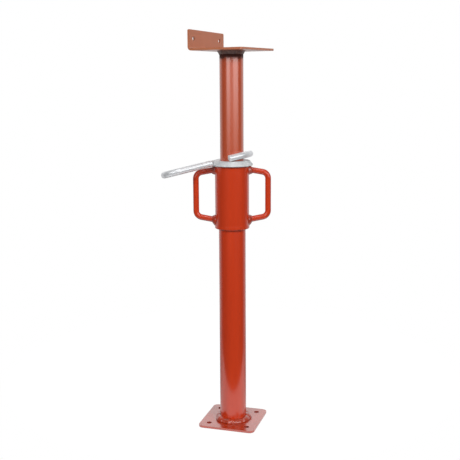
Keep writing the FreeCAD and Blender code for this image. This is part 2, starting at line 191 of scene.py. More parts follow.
class PropColours(bpy.types.PropertyGroup):
    """Colours of the prop's finishes."""

    paint: FloatVectorProperty(
        name="Paint", description="Red primer paint", default=(0.585, 0.041, 0.005), subtype="COLOR")
    paint_shade: FloatVectorProperty(
        name="Paint shade", description="Thicker, darker paint", default=(0.535, 0.036, 0.004),
        subtype="COLOR")
    # Painted shade: the red paint is darkened for the base plate, whose top faces up into more light than the
    # tube.
    plate: FloatVectorProperty(
        name="Plate paint", description="Thinner paint of the base plate", default=(0.46, 0.034, 0.004),
        subtype="COLOR")
    plate_shade: FloatVectorProperty(
        name="Plate shade", description="Thicker, darker paint of the base plate",
        default=(0.43, 0.032, 0.003), subtype="COLOR")
    # Partly painted sheen: the inner tube's duller paint has its green and blue raised to stand for a broad
    # reflection.
    satin: FloatVectorProperty(
        name="Satin paint", description="Duller paint of the inner tube", default=(0.54, 0.072, 0.013),
        subtype="COLOR")
    satin_shade: FloatVectorProperty(
        name="Satin shade", description="Thicker, darker satin paint", default=(0.51, 0.067, 0.012),
        subtype="COLOR")
    # Partly painted sheen: the head plate's browner paint has its green and blue raised to stand for a
    # reflection.
    brown: FloatVectorProperty(
        name="Brown paint", description="Duller, browner paint of the head plate",
        default=(0.51, 0.155, 0.065), subtype="COLOR")
    brown_shade: FloatVectorProperty(
        name="Brown shade", description="Thicker, darker brown paint", default=(0.48, 0.145, 0.06),
        subtype="COLOR")
    scorch: FloatVectorProperty(
        name="Scorched paint", description="Paint burnt by the weld under the head",
        default=(0.12, 0.042, 0.032), subtype="COLOR")
    ash: FloatVectorProperty(
        name="Ash", description="Grey patches of the weld under the head", default=(0.3, 0.14, 0.105),
        subtype="COLOR")
    # Painted shade: the dark inside of the base plate's holes, where their walls are in shade.
    hole_shade: FloatVectorProperty(
        name="Hole paint", description="Thick, dull paint inside the base plate's holes",
        default=(0.12, 0.008, 0.003), subtype="COLOR")
    weld: FloatVectorProperty(
        name="Weld paint", description="Paint over the weld beads", default=(0.47, 0.036, 0.004),
        subtype="COLOR")
    weld_shade: FloatVectorProperty(
        name="Weld shade", description="Thicker paint in the beads' hollows", default=(0.36, 0.027, 0.003),
        subtype="COLOR")
    zinc: FloatVectorProperty(
        name="Zinc", description="Zinc plating", default=(0.92, 0.93, 0.95), subtype="COLOR")
    zinc_shade: FloatVectorProperty(
        name="Zinc shade", description="Duller spangle of the zinc plating", default=(0.84, 0.86, 0.89),
        subtype="COLOR")
    dull_zinc: FloatVectorProperty(
        name="Dull zinc", description="Rubbed zinc of the washer", default=(0.85, 0.87, 0.88),
        subtype="COLOR")
    dull_shade: FloatVectorProperty(
        name="Dull shade", description="Greyer patches of the washer's zinc", default=(0.66, 0.68, 0.7),
        subtype="COLOR")


def sizes():
    return bpy.context.scene.prop_sizes


def colours():
    return bpy.context.scene.prop_colours


# Materials

PATTERN_LOW = 0.3
PATTERN_HIGH = 0.7


def add_node(tree, kind, **settings):
    node = tree.nodes.new(kind)
    for name, value in settings.items():
        setattr(node, name, value)
    return node


def new_material(name):
    """Start a material with an empty principled shader and Object coordinates."""
    material = bpy.data.materials.new(name)
    material.use_nodes = True
    tree = material.node_tree
    shader = tree.nodes["Principled BSDF"]
    place = add_node(tree, "ShaderNodeTexCoord")
    return tree, shader, place.outputs["Object"]


def noise_of(tree, place, scale, detail, stretch=(1.0, 1.0, 1.0)):
    """Make a noise pattern on Object coordinates, stretched along the axes."""
    mapping = add_node(tree, "ShaderNodeMapping")
    mapping.inputs["Scale"].default_value = stretch
    pattern = add_node(tree, "ShaderNodeTexNoise")
    pattern.inputs["Scale"].default_value = scale
    pattern.inputs["Detail"].default_value = detail
    tree.links.new(place, mapping.inputs["Vector"])
    tree.links.new(mapping.outputs["Vector"], pattern.inputs["Vector"])
    return pattern.outputs["Fac"]


def ramp_of(tree, value, low_colour, high_colour):
    """Blend two colours over a pattern's middle range."""
    ramp = add_node(tree, "ShaderNodeValToRGB")
    ramp.color_ramp.elements[0].position = PATTERN_LOW
    ramp.color_ramp.elements[1].position = PATTERN_HIGH
    ramp.color_ramp.elements[0].color = (*low_colour, 1.0)
    ramp.color_ramp.elements[1].color = (*high_colour, 1.0)
    tree.links.new(value, ramp.inputs["Fac"])
    return ramp.outputs["Color"]


def spread(tree, value, low, high):
    """Map a pattern's middle range to a range of roughness."""
    remap = add_node(tree, "ShaderNodeMapRange")
    remap.inputs["From Min"].default_value = PATTERN_LOW
    remap.inputs["From Max"].default_value = PATTERN_HIGH
    remap.inputs["To Min"].default_value = low
    remap.inputs["To Max"].default_value = high
    tree.links.new(value, remap.inputs["Value"])
    return remap.outputs["Result"]


def bumped(tree, shader, height, strength, distance, under=None):
    """Raise the surface by a pattern, on top of another bump where one is given."""
    bump = add_node(tree, "ShaderNodeBump")
    bump.inputs["Strength"].default_value = strength
    bump.inputs["Distance"].default_value = distance
    tree.links.new(height, bump.inputs["Height"])
    if under is not None:
        tree.links.new(under, bump.inputs["Normal"])
    tree.links.new(bump.outputs["Normal"], shader.inputs["Normal"])
    return bump.outputs["Normal"]


def make_paint(name, colour, shade, coat_roughness, coat_ior, skin=0.03):
    """Red paint on steel: faint streaks along the tube and a fine orange-peel skin under a clear coat."""
    tree, shader, place = new_material(name)
    streaks = noise_of(tree, place, scale=60.0, detail=4.0, stretch=(1.0, 1.0, 0.06))
    tone = ramp_of(tree, streaks, shade, colour)
    tree.links.new(tone, shader.inputs["Base Color"])
    clouds = noise_of(tree, place, scale=45.0, detail=4.0)
    tree.links.new(spread(tree, clouds, 0.42, 0.58), shader.inputs["Roughness"])
    peel = noise_of(tree, place, scale=420.0, detail=2.0)
    under = bumped(tree, shader, peel, skin, 0.4 * MM)
    waves = noise_of(tree, place, scale=55.0, detail=2.0)
    bumped(tree, shader, waves, skin, 1.5 * MM, under)
    shader.inputs["Specular IOR Level"].default_value = 0.1
    shader.inputs["Coat Weight"].default_value = 1.0
    shader.inputs["Coat Roughness"].default_value = coat_roughness
    shader.inputs["Coat IOR"].default_value = coat_ior
    return tree, shader, place


def scorch_top(tree, shader, place):
    """Burn the paint dull and dark where the tube's top was welded."""
    burn_start, burn_end, ragged_edge = 15 * MM, 8 * MM, 10 * MM
    height = add_node(tree, "ShaderNodeSeparateXYZ")
    tree.links.new(place, height.inputs["Vector"])
    ragged = add_node(tree, "ShaderNodeMath", operation="MULTIPLY_ADD")
    ragged.inputs[1].default_value = ragged_edge
    tree.links.new(noise_of(tree, place, scale=110.0, detail=3.0), ragged.inputs[0])
    tree.links.new(height.outputs["Z"], ragged.inputs[2])
    burn = add_node(tree, "ShaderNodeMapRange", interpolation_type="SMOOTHSTEP")
    burn.inputs["From Min"].default_value = HEAD_UNDERSIDE - burn_start
    burn.inputs["From Max"].default_value = HEAD_UNDERSIDE - burn_end
    tree.links.new(ragged.outputs["Value"], burn.inputs["Value"])
    mix = add_node(tree, "ShaderNodeMix", data_type="RGBA")
    mix.inputs["B"].default_value = (*colours().scorch, 1.0)
    tree.links.new(burn.outputs["Result"], mix.inputs["Factor"])
    tree.links.new(shader.inputs["Base Color"].links[0].from_socket, mix.inputs["A"])
    tree.links.new(mix.outputs["Result"], shader.inputs["Base Color"])
    dull = add_node(tree, "ShaderNodeMath", operation="SUBTRACT")
    dull.inputs[0].default_value = 1.0
    tree.links.new(burn.outputs["Result"], dull.inputs[1])
    tree.links.new(dull.outputs["Value"], shader.inputs["Coat Weight"])


def make_weld_paint(name, shade, colour, coat_weight, coat_ior):
    """Paint that lies thick and uneven over weld metal, shiny where it has a coat. It also gives the dark,
    dull painted shade inside the base plate's holes.
    """
    tree, shader, place = new_material(name)
    clouds = noise_of(tree, place, scale=160.0, detail=3.0)
    tone = ramp_of(tree, clouds, shade, colour)
    tree.links.new(tone, shader.inputs["Base Color"])
    tree.links.new(spread(tree, clouds, 0.45, 0.6), shader.inputs["Roughness"])
    bumped(tree, shader, clouds, 0.12, 0.8 * MM)
    shader.inputs["Coat Weight"].default_value = coat_weight
    shader.inputs["Coat Roughness"].default_value = 0.06
    shader.inputs["Coat IOR"].default_value = coat_ior


def make_zinc(name, colour, shade, roughness, bloom, dent):
    """Zinc plating, a little cloudy and faintly dented, whiter and less metallic with more bloom."""
    tree, shader, place = new_material(name)
    clouds = noise_of(tree, place, scale=90.0, detail=5.0)
    tone = ramp_of(tree, clouds, shade, colour)
    tree.links.new(tone, shader.inputs["Base Color"])
    tree.links.new(spread(tree, clouds, roughness - 0.05, roughness + 0.05), shader.inputs["Roughness"])
    dents = noise_of(tree, place, scale=45.0, detail=2.0)
    bumped(tree, shader, dents, dent, 1.0 * MM)
    shader.inputs["Metallic"].default_value = 1.0 - bloom


# Modelling steps

def start_alone():
    """Leave edit mode and deselect everything, so that an operator works on the new piece only."""
    if bpy.context.object and bpy.context.object.mode != "OBJECT":
        bpy.ops.object.mode_set(mode="OBJECT")
    bpy.ops.object.select_all(action="DESELECT")


def apply_modifier(piece, kind, **settings):
    modifier = piece.modifiers.new(kind.title(), kind)
    for name, value in settings.items():
        setattr(modifier, name, value)
    start_alone()
    piece.select_set(True)
    bpy.context.view_layer.objects.active = piece
    bpy.ops.object.modifier_apply(modifier=modifier.name)


def round_off(piece, width, segments=3):
    """Round every sharp edge of a piece, then shade it smooth between sharp edges."""
    apply_modifier(
        piece, "BEVEL", width=width, segments=segments, limit_method="ANGLE", angle_limit=math.radians(35))
    smooth(piece)
    apply_modifier(piece, "WEIGHTED_NORMAL", mode="FACE_AREA", weight=100, keep_sharp=True)


def smooth(piece, angle=math.radians(40)):
    start_alone()
    piece.select_set(True)
    bpy.context.view_layer.objects.active = piece
    bpy.ops.object.shade_smooth_by_angle(angle=angle)


def settle(piece):
    """Move a piece's place into its mesh, so that its object sits at the origin."""
    start_alone()
    piece.select_set(True)
    bpy.context.view_layer.objects.active = piece
    bpy.ops.object.transform_apply(location=True, rotation=True, scale=True)


def dress(piece, material, slot, body, *nodes):
    """Give a piece its finish, its body and the nodes that it stands for."""
    piece.data.materials.clear()
    piece.data.materials.append(bpy.data.materials[material])
    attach(piece, body)
    if nodes:
        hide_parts(*nodes)


def turned_piece(name, outline):
    """Turn a closed outline of radius and height about the Z axis, ring by ring."""
    start_alone()
    radius, height = outline[0]
    bpy.ops.mesh.primitive_circle_add(vertices=sizes().round_steps, radius=radius, location=(0, 0, height))
    piece = bpy.context.object
    piece.name = name
    settle(piece)
    bpy.ops.object.mode_set(mode="EDIT")
    bpy.ops.mesh.select_all(action="SELECT")
    for next_radius, next_height in outline[1:] + outline[:1]:
        rise = (0, 0, next_height - height)
        grow = next_radius / radius
        bpy.ops.mesh.extrude_edges_move(TRANSFORM_OT_translate={"value": rise})
        bpy.ops.transform.resize(value=(grow, grow, 1), center_override=(0, 0, 0))
        radius, height = next_radius, next_height
    bpy.ops.mesh.select_all(action="SELECT")
    bpy.ops.mesh.remove_doubles(threshold=SAME_POINT)
    bpy.ops.mesh.normals_make_consistent(inside=False)
    bpy.ops.object.mode_set(mode="OBJECT")
    return piece


def softened_copy(node, name):
    """Copy a node's mesh, join its loose triangles and clear away the edges inside flat faces."""
    start_alone()
    piece = bpy.data.objects.new(name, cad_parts[node].data.copy())
    bpy.context.scene.collection.objects.link(piece)
    piece.select_set(True)
    bpy.context.view_layer.objects.active = piece
    bpy.ops.mesh.customdata_custom_splitnormals_clear()
    bpy.ops.object.mode_set(mode="EDIT")
    bpy.ops.mesh.select_all(action="SELECT")
    bpy.ops.mesh.remove_doubles(threshold=SAME_POINT)
    bpy.ops.mesh.dissolve_limited(angle_limit=math.radians(0.5))
    bpy.ops.object.mode_set(mode="OBJECT")
    return piece


def bent_bar(name, radius, start, heading, moves, steps=40):
    """Draw a round bar along straight runs and bends, as a bar is bent by hand.

    A move is a run's length, or a bend given as its centre, its axis and its angle.
    """
    start_alone()
    heading = Vector(heading).normalized()
    facing = heading.to_track_quat("Z", "Y").to_euler()
    bpy.ops.mesh.primitive_circle_add(vertices=steps, radius=radius, location=start, rotation=facing)
    piece = bpy.context.object
    piece.name = name
    settle(piece)
    bpy.ops.object.mode_set(mode="EDIT")
    bpy.ops.mesh.select_all(action="SELECT")
    for move in moves:
        if isinstance(move, float):
            bpy.ops.mesh.extrude_edges_move(TRANSFORM_OT_translate={"value": heading * move})
        else:
            centre, axis, angle = move
            turns = max(8, round(abs(angle) / math.radians(5)))
            bpy.ops.mesh.spin(steps=turns, angle=-angle, center=centre, axis=axis)
            heading = Matrix.Rotation(angle, 3, axis) @ heading
    bpy.ops.mesh.select_all(action="SELECT")
    bpy.ops.mesh.remove_doubles(threshold=SAME_POINT)
    bpy.ops.mesh.fill_holes(sides=0)
    bpy.ops.mesh.select_all(action="SELECT")
    bpy.ops.mesh.normals_make_consistent(inside=False)
    bpy.ops.object.mode_set(mode="OBJECT")
    return piece


def weld_bead(name, seat_of, around, across, seed, ripples, lumps=0.22, fullness=1.0):
    """Lay a lumpy weld bead along a closed seam.

    seat_of gives, for an angle round the seam, the seam's point, the two directions that the bead leans
    against and the bead's two legs along them. The bead dips a little way into both walls. Its face is
    round at a fullness of 1 and flat at a half.
    """
    start_alone()
    bpy.ops.mesh.primitive_torus_add(
        major_segments=around, minor_segments=across, major_radius=1.0, minor_radius=0.2)
    piece = bpy.context.object
    piece.name = name
    settle(piece)
    lump_scale, fine_scale = 90, 420
    for vertex in piece.data.vertices:
        round_angle = math.atan2(vertex.co.y, vertex.co.x)
        out = math.hypot(vertex.co.x, vertex.co.y) - 1.0
        section = math.atan2(vertex.co.z, out)
        seam, away, along, away_leg, along_leg = seat_of(round_angle)
        lump = noise.noise(seam * lump_scale + Vector((seed, 0, 0)))
        fine = noise.noise(seam * fine_scale + Vector((0, seed, section)))
        ripple = math.sin(round_angle * ripples / 2 + 6 * lump) ** 2
        swell = 0.9 + 0.06 * ripple + lumps * lump + 0.05 * fine
        first, second = math.cos(section), math.sin(section)
        first = away_leg * swell * first ** (1 / fullness) if first > 0 else BEAD_DIP * first
        second = along_leg * swell * second ** (1 / fullness) if second > 0 else BEAD_DIP * second
        vertex.co = seam + away * first + along * second
    smooth(piece, math.radians(60))
    return piece


# Pieces, one operator each

class PROP_OT_finishes(bpy.types.Operator):
    """Mix the paint and the zinc, and lay them on the frame's own nodes"""

    bl_idname = "steel_prop.finishes"
    bl_label = "Mix the finishes"

    def execute(self, context):
        colour = colours()
        make_paint("glossy_red", colour.paint, colour.paint_shade, coat_roughness=0.16, coat_ior=1.75)
        # The base plate's paint: its darker colour is painted shade for the plate's up-facing top.
        make_paint(
            "plate_shaded_red", colour.plate, colour.plate_shade, coat_roughness=0.2, coat_ior=2.2, skin=0.012)
        # The head plate's paint: a duller brown, with a painted sheen in its lighter colour.
        make_paint(
            "brown_red", colour.brown, colour.brown_shade, coat_roughness=0.36, coat_ior=2.0, skin=0.012)
        # The inner tube's paint: a duller red, with a painted sheen in its colour.
        tree, shader, place = make_paint(
            "satin_red", colour.satin, colour.satin_shade, coat_roughness=0.24, coat_ior=2.6)
        scorch_top(tree, shader, place)
        make_weld_paint("weld_red", colour.weld_shade, colour.weld, coat_weight=1.0, coat_ior=2.1)
        make_weld_paint("scorched_weld", colour.scorch, colour.ash, coat_weight=0.1, coat_ior=2.4)
        # Painted shade inside the base plate's holes: a dark, dull paint on their walls.
        make_weld_paint("hole_shade_red", colour.hole_shade, colour.weld_shade, coat_weight=0.0, coat_ior=1.5)
        make_zinc("bright_zinc", colour.zinc, colour.zinc_shade, roughness=0.35, bloom=0.5, dent=0.005)
        make_zinc("satin_zinc", colour.dull_zinc, colour.dull_shade, roughness=0.55, bloom=0.6, dent=0.03)
        for name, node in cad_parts.items():
            node.data.materials.clear()
            node.data.materials.append(bpy.data.materials[NODE_FINISHES.get(name, "glossy_red")])
        return {"FINISHED"}


class PROP_OT_plates(bpy.types.Operator):
    """Round the plates' edges as paint does, paint shade into the base's holes and skew the head's upstand"""

    bl_idname = "steel_prop.plates"
    bl_label = "Make the plates"

    def execute(self, context):
        plates = (("base_plate", "outer", "plate_shaded_red", 0.5), ("head_plate", "inner", "brown_red", 1.0))
        for node, body, paint, share in plates:
            plate = softened_copy(node, "painted_" + node)
            round_off(plate, sizes().edge_round * share)
            dress(plate, paint, "red_paint", body, node)
        self.darken_holes(bpy.data.objects["painted_base_plate"])
        self.skew_upstand(bpy.data.objects["painted_head_plate"])
        return {"FINISHED"}

    def darken_holes(self, plate):
        """Paint shade onto the insides of the base plate's holes, as a dark, dull paint."""
        plate.data.materials.append(bpy.data.materials["hole_shade_red"])
        half = sizes().base_hole_spacing / 2
        for face in plate.data.polygons:
            from_hole = math.hypot(abs(face.center.x) - half, abs(face.center.y) - half)
            if from_hole < sizes().base_hole / 2 + HOLE_MARGIN:
                face.material_index = 1

    def skew_upstand(self, plate):
        """Draw the upstand's near end up and its far end down, as the cut plate has them."""
        turn = sizes().head_turn
        for vertex in plate.data.vertices:
            along = vertex.co.y * math.cos(turn) - vertex.co.x * math.sin(turn)
            lift = sizes().upstand_lift - sizes().upstand_skew * along
            above_fold = vertex.co.z - HEAD_UNDERSIDE - UPSTAND_FOLD
            share = max(0.0, above_fold / (HEAD_TOP - HEAD_UNDERSIDE - UPSTAND_FOLD))
            vertex.co.z += lift * share


class PROP_OT_outer_tube(bpy.types.Operator):
    """Make the standing tube, with the thread rolled into its upper end"""

    bl_idname = "steel_prop.outer_tube"
    bl_label = "Make the outer tube"

    def execute(self, context):
        outside = sizes().outer_diameter / 2
        bore = outside - sizes().outer_wall
        bottom, top = low_of("outer_tube"), high_of("outer_tube")
        thread_start = top - sizes().thread_length
        tube = turned_piece("threaded_outer_tube", [
            (bore, bottom), (outside, bottom), (outside, thread_start), (outside, top), (bore, top)])
        self.roll_thread(tube, thread_start, top, outside)
        smooth(tube)
        dress(tube, "glossy_red", "red_paint", "outer", "outer_tube")
        return {"FINISHED"}

    def roll_thread(self, tube, start, top, outside):
        """Cut the threaded stretch into fine rings and press the helix into them."""
        near = 1e-5
        bpy.ops.object.mode_set(mode="EDIT")
        bpy.ops.mesh.select_all(action="DESELECT")
        bpy.ops.mesh.select_mode(type="EDGE")
        bpy.ops.object.mode_set(mode="OBJECT")
        for edge in tube.data.edges:
            ends = [tube.data.vertices[number].co for number in edge.vertices]
            upright = abs(ends[0].z - ends[1].z) > near
            threaded = min(end.z for end in ends) > start - near
            on_outside = all(math.hypot(end.x, end.y) > outside - near for end in ends)
            edge.select = upright and threaded and on_outside
        bpy.ops.object.mode_set(mode="EDIT")
        bpy.ops.mesh.subdivide(number_cuts=round((top - start) / MM) - 1)
        bpy.ops.object.mode_set(mode="OBJECT")
        fade = sizes().thread_pitch
        for vertex in tube.data.vertices:
            radius = math.hypot(vertex.co.x, vertex.co.y)
            if radius < outside - near or vertex.co.z < start:
                continue
            turn = math.atan2(vertex.co.y, vertex.co.x) / (2 * math.pi)
            phase = vertex.co.z / sizes().thread_pitch - turn
            hollow = 0.5 - 0.5 * math.cos(2 * math.pi * phase)
            run_out = min(1.0, (vertex.co.z - start) / fade, (top - vertex.co.z) / fade)
            squeeze = 1 - sizes().thread_depth * hollow * max(0.0, run_out) / radius
            vertex.co.x *= squeeze
            vertex.co.y *= squeeze


class PROP_OT_sleeve(bpy.types.Operator):
    """Make the adjusting sleeve, with its slightly proud lower rim"""

    bl_idname = "steel_prop.sleeve"
    bl_label = "Make the adjusting sleeve"

    def execute(self, context):
        lip = SLEEVE_RADIUS + sizes().sleeve_lip
        bore = sizes().sleeve_bore
        sleeve = turned_piece("painted_sleeve", [
            (bore, SLEEVE_BOTTOM),
            (lip, SLEEVE_BOTTOM),
            (lip, SLEEVE_BOTTOM + SLEEVE_RIM),
            (SLEEVE_RADIUS, SLEEVE_BOTTOM + SLEEVE_RIM_END),
            (SLEEVE_RADIUS, SLEEVE_TOP),
            (bore, SLEEVE_TOP),
        ])
        round_off(sleeve, SLEEVE_ROUNDING)
        dress(sleeve, "glossy_red", "red_paint", "sleeve", "adjusting_sleeve")
        return {"FINISHED"}


class PROP_OT_handles(bpy.types.Operator):
    """Bend the two handles from round bar and set them on the sleeve"""

    bl_idname = "steel_prop.handles"
    bl_label = "Make the handles"

    def execute(self, context):
        for side, half_turn in (("right", 0.0), ("left", math.pi)):
            handle = self.bend_handle(side + "_bar_handle")
            handle.data.transform(Matrix.Rotation(sizes().handle_turn + half_turn, 4, "Z"))
            smooth(handle)
            dress(handle, "glossy_red", "red_paint", "sleeve", side + "_handle")
        return {"FINISHED"}

    def bend_handle(self, name):
        reach, bend = sizes().handle_reach, sizes().handle_bend
        fall, rise = sizes().handle_top_slope, sizes().handle_bottom_slope
        top = SLEEVE_TOP - sizes().handle_top_drop
        bottom = SLEEVE_BOTTOM + sizes().handle_bottom_rise
        stand_off = reach - SLEEVE_RADIUS
        cope = HANDLE_COPE
        top_corner = top - stand_off * math.tan(fall)
        bottom_corner = bottom + stand_off * math.tan(rise)
        top_angle, bottom_angle = math.pi / 2 - fall, math.pi / 2 - rise
        top_tangent = bend * math.tan(top_angle / 2)
        bottom_tangent = bend * math.tan(bottom_angle / 2)
        start = (SLEEVE_RADIUS - cope, 0, top + cope * math.tan(fall))
        moves = [
            (stand_off + cope) / math.cos(fall) - top_tangent,
            ((reach - bend, 0, top_corner - top_tangent), (0, 1, 0), top_angle),
            top_corner - top_tangent - bottom_corner - bottom_tangent,
            ((reach - bend, 0, bottom_corner + bottom_tangent), (0, 1, 0), bottom_angle),
            (stand_off + cope) / math.cos(rise) - bottom_tangent,
        ]
        return bent_bar(name, sizes().handle_rod / 2, start, (math.cos(fall), 0, -math.sin(fall)), moves)


class PROP_OT_washer(bpy.types.Operator):
    """Make the zinc washer, with its edges rounded"""

    bl_idname = "steel_prop.washer"
    bl_label = "Make the washer"

    def execute(self, context):
        radius = sizes().washer_radius
        bore = sizes().inner_diameter / 2 + WASHER_PLAY
        low, high = low_of("support_washer"), WASHER_TOP
        washer = turned_piece("zinc_washer", [
            (bore, low), (radius, low), (radius, low + WASHER_RIM), (WASHER_TOP_RADIUS, high), (bore, high)])
        round_off(washer, WASHER_ROUNDING)
        dress(washer, "satin_zinc", "zinc_plate", "washer", "support_washer")
        return {"FINISHED"}


class PROP_OT_pin(bpy.types.Operator):
    """Bend the locking pin like the letter G and hang it round the inner tube"""

    bl_idname = "steel_prop.pin"
    bl_label = "Make the pin"

    def execute(self, context):
        radius = sizes().pin_diameter / 2
        tilt, lean = sizes().pin_tilt, sizes().pin_lean
        front = sizes().inner_diameter / 2 + radius + PIN_TUBE_GAP
        back = (sizes().washer_radius + radius + PIN_WASHER_GAP) / math.cos(lean)
        bar_tip = (sizes().washer_radius + PIN_WASHER_GAP + radius * math.sin(tilt)) / math.cos(tilt)
        far, hook, tip = sizes().pin_bar_bend, sizes().pin_hook_centre, sizes().pin_front_tip
        moves = [
            far - bar_tip,
            ((-far, back / 2, 0), (0, 0, -1), math.pi),
            far + hook,
            ((hook, (back - front) / 2, 0), (0, 0, -1), math.pi),
            tip + hook,
        ]
        pin = bent_bar("zinc_g_pin", radius, (-bar_tip, 0, 0), (-1, 0, 0), moves)
        rise = radius * math.cos(tilt) + tip * math.sin(tilt) - front * math.sin(lean) * math.cos(tilt)
        hang = Matrix.Translation((0, 0, WASHER_TOP + PIN_REST_GAP + rise))
        hang @= Matrix.Rotation(sizes().pin_turn, 4, "Z")
        hang @= Matrix.Rotation(-tilt, 4, "Y")
        hang @= Matrix.Rotation(-lean, 4, "X")
        pin.data.transform(hang)
        round_off(pin, PIN_ROUNDING)
        dress(pin, "bright_zinc", "zinc_plate", "pin", "g_pin")
        return {"FINISHED"}


class PROP_OT_welds(bpy.types.Operator):
    """Lay the weld beads at the foot, under the head and at the handles' ends"""

    bl_idname = "steel_prop.welds"
    bl_label = "Lay the welds"

    def execute(self, context):
        up = Vector((0, 0, 1))
        foot_radius = sizes().outer_diameter / 2 + FOOT_BEAD_STEP
        foot = self.ring(foot_radius, PLATE_TOP + FOOT_BEAD_STEP, up, *FOOT_BEAD_LEGS)
        bead = weld_bead("foot_weld_bead", foot, around=240, across=24, seed=3.0, ripples=12, lumps=0.36)
        dress(bead, "weld_red", "red_paint", "outer", "base_weld")
        head_radius = sizes().inner_diameter / 2 + 0.2 * MM
        head = self.ring(head_radius, HEAD_UNDERSIDE - 0.4 * MM, -up, *HEAD_BEAD_LEGS)
        bead = weld_bead("head_weld_bead", head, around=200, across=20, seed=9.0, ripples=30, fullness=0.5)
        dress(bead, "scorched_weld", "red_paint", "inner", "head_weld")
        for number, (side, half_turn) in enumerate((("right", 0.0), ("left", math.pi))):
            self.handle_welds(side, sizes().handle_turn + half_turn, 20.0 + 5 * number)
        return {"FINISHED"}

    def ring(self, radius, height, along, away_leg, along_leg):
        """A seam round a tube, with its legs along the plate and along the tube."""
        def seat(angle):
            away = Vector((math.cos(angle), math.sin(angle), 0))
            return away * radius + Vector((0, 0, height)), away, along, away_leg, along_leg
        return seat

    def handle_welds(self, side, turn, seed):
        """Lay a handle's two beads and join them. An end has its height, slope, upper leg and lower leg."""
        upper, lower = SLEEVE_TOP - sizes().handle_top_drop, SLEEVE_BOTTOM + sizes().handle_bottom_rise
        ends = (
            ("upper", upper, -sizes().handle_top_slope, 3.4 * MM, 5 * MM),
            ("lower", lower, sizes().handle_bottom_slope, 5 * MM, 9 * MM),
        )
        beads = []
        for number, (end, height, slope, upper_leg, lower_leg) in enumerate(ends):
            seat = self.saddle(turn, height, slope, upper_leg, lower_leg)
            beads.append(weld_bead(
                f"{side}_{end}_weld_bead", seat, around=96, across=20, seed=seed + number, ripples=14,
                fullness=0.6))
        start_alone()
        for bead in beads:
            bead.select_set(True)
        bpy.context.view_layer.objects.active = beads[0]
        bpy.ops.object.join()
        joined = bpy.context.object
        joined.name = side + "_handle_weld_beads"
        dress(joined, "weld_red", "red_paint", "sleeve", side + "_handle_welds")

    def saddle(self, turn, height, slope, upper_leg, lower_leg):
        """A seam round a handle's bar where it meets the sleeve, with a longer leg below than above."""
        bar = sizes().handle_rod / 2
        level = math.cos(slope)
        outward = Vector((math.cos(turn) * level, math.sin(turn) * level, math.sin(slope)))

        def seat(angle):
            aside, raised = bar * math.cos(angle), bar * math.sin(angle)
            swing = turn + aside / SLEEVE_RADIUS
            radial = Vector((math.cos(swing), math.sin(swing), 0))
            seam = radial * SLEEVE_RADIUS + Vector((0, 0, height + raised))
            tangent = Vector((-math.sin(swing), math.cos(swing), 0))
            away = tangent * math.cos(angle) + Vector((0, 0, math.sin(angle)))
            share = 0.5 + 0.5 * math.sin(angle)
            leg = lower_leg + (upper_leg - lower_leg) * share
            return seam, away, outward, leg, HANDLE_BEAD_REACH
        return seat


